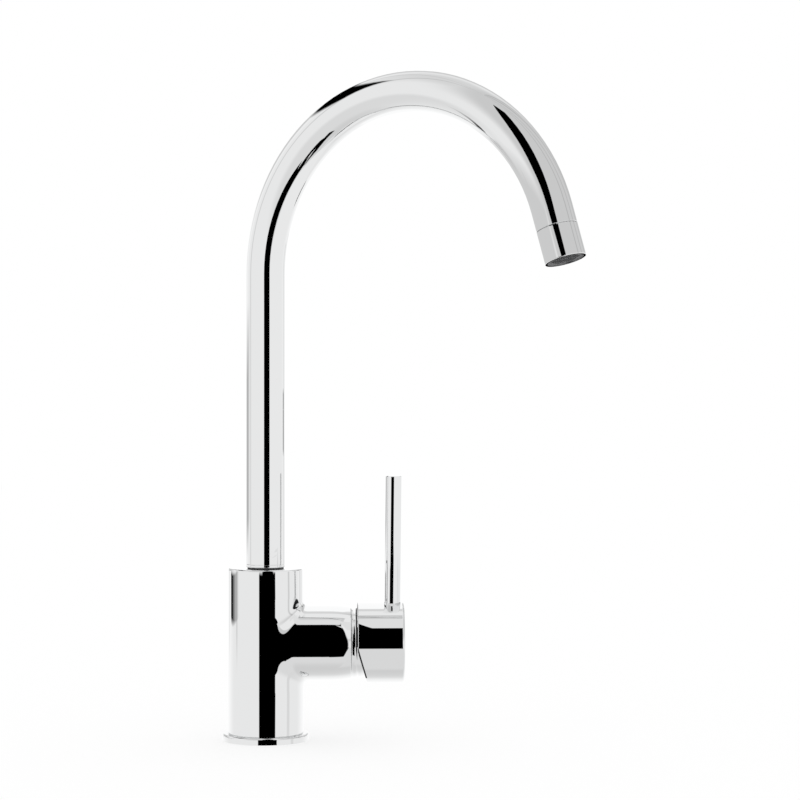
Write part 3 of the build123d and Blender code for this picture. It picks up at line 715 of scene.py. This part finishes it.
def card_material(tone):
    """A card's own light, front and back, that fades to clear with its cover; made on first use."""
    name = "studio_" + tone
    if name in bpy.data.materials:
        return bpy.data.materials[name]
    material, tree = bare_material(name)
    front, back = CARD_LIGHT[tone]
    cover = add_node(tree, "ShaderNodeAttribute", attribute_name="cover").outputs["Fac"]
    clear = add_node(tree, "ShaderNodeBsdfTransparent")
    turned = add_node(tree, "ShaderNodeNewGeometry").outputs["Backfacing"]
    inputs = {"Value": turned, "To Min": front, "To Max": back}
    light = add_node(tree, "ShaderNodeMapRange", inputs).outputs["Result"]
    glow = add_node(tree, "ShaderNodeEmission", {"Color": WHITE, "Strength": light})
    add_node(tree, "ShaderNodeOutputMaterial", {"Surface": mix_shaders(tree, cover, clear, glow)})
    return material


def card(name, tone, low, high, fade=THIN_FADE):
    """A card that shows only in reflections.

    Its low and high edges are given by their left and right ends. The fade gives the shares of
    the card that thin out towards its left, right, low and high edges.
    """
    low_left, low_right = (Vector(end) for end in low)
    high_left, high_right = (Vector(end) for end in high)
    fade_left, fade_right, fade_low, fade_high = fade
    across = (0.0, fade_left, 1.0 - fade_right, 1.0)
    upwards = (0.0, fade_low, 1.0 - fade_high, 1.0)
    places = [
        low_left.lerp(low_right, u).lerp(high_left.lerp(high_right, u), v) for v in upwards for u in across
    ]
    side = len(across)
    starts = [side * row + column for row in range(side - 1) for column in range(side - 1)]
    mesh = bpy.data.meshes.new(name)
    mesh.from_pydata(places, [], [(start, start + 1, start + side + 1, start + side) for start in starts])
    mesh.materials.append(card_material(tone))
    cover = mesh.attributes.new("cover", "FLOAT", "POINT")
    for row in (1, 2):
        for column in (1, 2):
            cover.data[side * row + column].value = 1.0
    piece = new_object(name, mesh)
    piece.visible_camera = False
    piece.visible_diffuse = False
    piece.visible_shadow = False
    piece.visible_transmission = False


def wall_card(name, tone, left, right, low, high, fade=THIN_FADE):
    """An upright card between two places on plan and two heights."""
    card(name, tone, ((*left, low), (*right, low)), ((*left, high), (*right, high)), fade)


def round_place(turn, distance):
    """A place on plan, by its angle from straight in front towards the right."""
    return (distance * sin(turn), -distance * cos(turn))


def floor_material(shade):
    """White floor that keeps a share of the tap's shadow."""
    material, tree = bare_material("studio_floor")
    white = add_node(tree, "ShaderNodeEmission", {"Color": WHITE, "Strength": 1.0})
    paint = add_node(tree, "ShaderNodeBsdfDiffuse", {"Color": WHITE})
    add_node(tree, "ShaderNodeOutputMaterial", {"Surface": mix_shaders(tree, shade, white, paint)})
    return material


def build_floor(settings):
    """Pale floor under the tap."""
    half = settings.floor_size / 2
    level = cad_box[0].z - FLOOR_GAP
    corners = [(-half, -half, level), (half, -half, level), (half, half, level), (-half, half, level)]
    mesh = bpy.data.meshes.new("studio_floor")
    mesh.from_pydata(corners, [], [(0, 1, 2, 3)])
    mesh.materials.append(floor_material(settings.floor_shade))
    floor = new_object("studio_floor", mesh)
    floor.visible_glossy = False


def build_slit():
    """The black camera slit in the tent's front, made of the opening and panels that lengthen it."""
    wall_card(
        "camera_slit", "black", left=(-0.053, -0.35), right=(0.154, -0.35), low=-0.011, high=0.33,
        fade=(0.02, 0.02, 0.01, 0.01),
    )
    card(
        "slit_top", "black",
        low=((-0.054, -0.356, 0.285), (0.157, -0.356, 0.285)),
        high=((0.04, -0.356, 1.3), (0.19, -0.356, 1.3)),
        fade=(0.02, 0.02, 0.005, 0.06),
    )
    wall_card("slit_flap", "black", left=(-0.0212, -0.147), right=(0.06, -0.237), low=0.05, high=0.165)
    wall_card("slit_foot", "black", left=(-0.0525, -0.164), right=(0.0905, -0.164), low=-0.067, high=0.093)
    card(
        "slit_hem", "black",
        low=((0.05, -0.352, -0.231), (0.143, -0.352, -0.231)),
        high=((0.05, -0.352, -0.005), (0.157, -0.352, -0.005)),
        fade=(0.02, 0.02, 0.02, 0.005),
    )


def build_cards():
    """Pale cards near the tap, which bound the slit's reflection and light the arm's inner corner."""
    wall_card(
        "cap_foot", "dull", left=(0.0535, -0.035), right=(0.095, -0.035), low=-0.078, high=0.0551,
        fade=(0.04, 0.02, 0.6, 0.005),
    )
    card(
        "arm_card", "white",
        low=((0.012, -0.0395, 0.1085), (0.052, -0.0395, 0.1085)),
        high=((0.012, -0.02, 0.11), (0.052, -0.02, 0.11)),
        fade=(0.02, 0.02, 0.02, 0.3),
    )
    card(
        "cap_card", "white",
        low=((0.0653, -0.06, 0.109), (0.095, -0.06, 0.109)),
        high=((0.0488, -0.027, 0.1112), (0.095, -0.027, 0.1112)),
    )
    card(
        "spout_card", "shade",
        low=((0.1, -0.2, 0.295), (0.137, -0.2, 0.295)),
        high=((0.076, -0.2, 0.385), (0.083, -0.2, 0.385)),
    )
    wall_card(
        "corner_card", "two_sided", left=(0.1, 0.03), right=(0.1, -0.185), low=0.1, high=0.345,
        fade=(0.1, 0.05, 0.05, 0.1),
    )
    card(
        "top_card", "pale",
        low=((0.02, 0.023, 0.2), (0.09, 0.023, 0.2)),
        high=((0.02, -0.021, 0.2), (0.09, -0.021, 0.2)),
        fade=(0.05, 0.05, 0.1, 0.1),
    )
    wall_card(
        "back_card", "bright", left=(0.12, 0.2), right=(0.0, 0.2), low=0.07, high=0.53,
        fade=(0.1, 0.1, 0.05, 0.1),
    )


def build_flags():
    """Dark flags at the left, behind and on the right, which draw fine lines in the chrome."""
    wall_card(
        "rim_flag", "black", left=(0.2, 0.156), right=(0.262, 0.156), low=0.165, high=0.215,
        fade=(0.1, 0.1, 0.1, 0.1),
    )
    card(
        "high_flag", "black",
        low=((-0.303, 3.53, 1.42), (-0.917, 0.045, 0.95)),
        high=((-0.303, 3.53, 1.93), (-0.917, 0.045, 1.6)),
        fade=(0.01, 0.02, 0.12, 0.2),
    )
    card(
        "high_flag_tail", "black",
        low=((-0.5, 10.0, 1.4), (-0.303, 3.53, 1.5)),
        high=((-0.5, 10.0, 2.4), (-0.303, 3.53, 1.93)),
        fade=(0.06, 0.01, 0.12, 0.2),
    )
    wall_card(
        "left_flag", "black", left=round_place(radians(-128), 0.6), right=round_place(radians(-86), 0.6),
        low=0.014, high=0.062, fade=(0.05, 0.75, 0.15, 0.1),
    )
    wall_card(
        "rear_flag", "grey", left=round_place(radians(-152), 0.65), right=round_place(radians(-105), 0.65),
        low=0.07, high=0.29, fade=(0.25, 0.4, 0.15, 0.3),
    )


def tent_light(tree, settings):
    """Brightness of the tent, by direction: walls with seams, roof, back cloth, table and underside."""
    way = add_node(tree, "ShaderNodeTexCoord").outputs["Generated"]
    axes = add_node(tree, "ShaderNodeSeparateXYZ", {"Vector": way}).outputs
    walls = step_node(tree, axes["Y"], *WALL_TO_BACK_Y, settings.wall_light, settings.back_light)
    overhead = step_node(tree, axes["Z"], *HIGH_TO_ROOF_Z, 0.0, ROOF_SHARE)
    aside = step_node(tree, vector_node(tree, "DOT_PRODUCT", way, RIGHT_FRONT), *SIDE_TO_RIGHT_FRONT)
    raised = step_node(tree, axes["Z"], *LEVEL_TO_HIGH_Z)
    roof = math_node(tree, "MULTIPLY", raised, math_node(tree, "MAXIMUM", overhead, aside))
    behind = step_node(tree, axes["Y"], *BACK_CLOTH_Y)
    hung = math_node(tree, "MULTIPLY", behind, step_node(tree, axes["Z"], *BACK_CLOTH_Z))
    lowered = step_node(tree, axes["Z"], *TABLE_Z)
    table = math_node(tree, "MULTIPLY", lowered, step_node(tree, axes["Y"], *TABLE_Y))
    nadir = step_node(tree, axes["Z"], *NADIR_Z)
    sewn = step_node(tree, axes["Z"], *SEAM_FOOT_Z)
    bearing = math_node(tree, "ARCTAN2", axes["X"], axes["Y"])
    for turn, width in TENT_SEAMS:
        past = math_node(tree, "ABSOLUTE", math_node(tree, "SUBTRACT", bearing, turn), 0.0)
        seam = math_node(tree, "MULTIPLY", step_node(tree, past, 0.0, width, 1.0, 0.0), sewn)
        walls = math_node(tree, "MULTIPLY", walls, dim_node(tree, seam, settings.seam_dim))
    light = walls
    for mask, share in (
        (roof, settings.roof_dim),
        (table, settings.table_dim),
        (nadir, settings.nadir_dim),
        (hung, settings.hung_dim),
    ):
        light = math_node(tree, "MULTIPLY", light, dim_node(tree, mask, share))
    return light


def build_world(settings):
    """White all round, and in reflections the light tent."""
    world = bpy.data.worlds.new("light_tent")
    bpy.context.scene.world = world
    world.use_nodes = True
    world.cycles.sampling_method = "NONE"  # keeps bright specks out of the black reflections
    tree = world.node_tree
    tree.nodes.clear()
    white = add_node(tree, "ShaderNodeBackground", {"Color": WHITE, "Strength": 1.0})
    tent = add_node(tree, "ShaderNodeBackground", {"Color": WHITE, "Strength": tent_light(tree, settings)})
    reflected = add_node(tree, "ShaderNodeLightPath").outputs["Is Glossy Ray"]
    add_node(tree, "ShaderNodeOutputWorld", {"Surface": mix_shaders(tree, reflected, white, tent)})


def build_camera(settings):
    """Level camera at the photograph's place."""
    turn = settings.camera_turn
    back = Vector((sin(turn), -cos(turn), 0))
    right = Vector((cos(turn), sin(turn), 0))
    camera = bpy.data.cameras.new("photo_camera")
    camera.sensor_width = SENSOR_WIDTH
    camera.lens = settings.camera_lens
    camera.clip_start = NEAR_CLIP
    camera.clip_end = FAR_CLIP
    stand = new_object("photo_camera", camera)
    stand.location = back * settings.camera_distance + right * settings.camera_aside
    stand.location.z = settings.camera_height
    stand.rotation_euler = (pi / 2, 0, turn)
    bpy.context.scene.camera = stand


class TAP_OT_stage(bpy.types.Operator):
    """Build the floor, the light tent and the camera"""

    bl_idname = "tap.stage"
    bl_label = "Studio"

    def execute(self, context):
        settings = context.scene.tap_stage
        context.scene.view_settings.view_transform = "Standard"
        build_floor(settings)
        build_slit()
        build_cards()
        build_flags()
        build_world(settings)
        build_camera(settings)
        return {"FINISHED"}


OPERATORS = (TAP_OT_chrome, TAP_OT_blend, TAP_OT_metal, TAP_OT_seals, TAP_OT_cartridge, TAP_OT_stage)


class TAP_PT_sidebar(bpy.types.Panel):
    """The tap's steps and settings"""

    bl_idname = "TAP_PT_sidebar"
    bl_label = "Kitchen mixer tap"
    bl_space_type = "VIEW_3D"
    bl_region_type = "UI"
    bl_category = "Tap"

    def draw(self, context):
        for operator in OPERATORS:
            self.layout.operator(operator.bl_idname)
        for settings in (context.scene.tap_finish, context.scene.tap_blend, context.scene.tap_stage):
            box = self.layout.box()
            for name in settings.bl_rna.properties.keys():
                if name not in ("rna_type", "name"):
                    box.prop(settings, name)


CLASSES = (TapFinishSettings, TapBlendSettings, TapStageSettings, *OPERATORS, TAP_PT_sidebar)


def register():
    """Registers the classes and hangs their settings on the scene."""
    for cls in CLASSES:
        bpy.utils.register_class(cls)
    bpy.types.Scene.tap_finish = PointerProperty(type=TapFinishSettings)
    bpy.types.Scene.tap_blend = PointerProperty(type=TapBlendSettings)
    bpy.types.Scene.tap_stage = PointerProperty(type=TapStageSettings)


def unregister():
    """Takes the settings and classes away again."""
    del bpy.types.Scene.tap_stage
    del bpy.types.Scene.tap_blend
    del bpy.types.Scene.tap_finish
    for cls in reversed(CLASSES):
        bpy.utils.unregister_class(cls)


def main():
    """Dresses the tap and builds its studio."""
    register()
    bpy.ops.tap.chrome()
    bpy.ops.tap.blend()
    bpy.ops.tap.metal()
    bpy.ops.tap.seals()
    bpy.ops.tap.cartridge()
    bpy.ops.tap.stage()


if __name__ == "__main__":
    main()
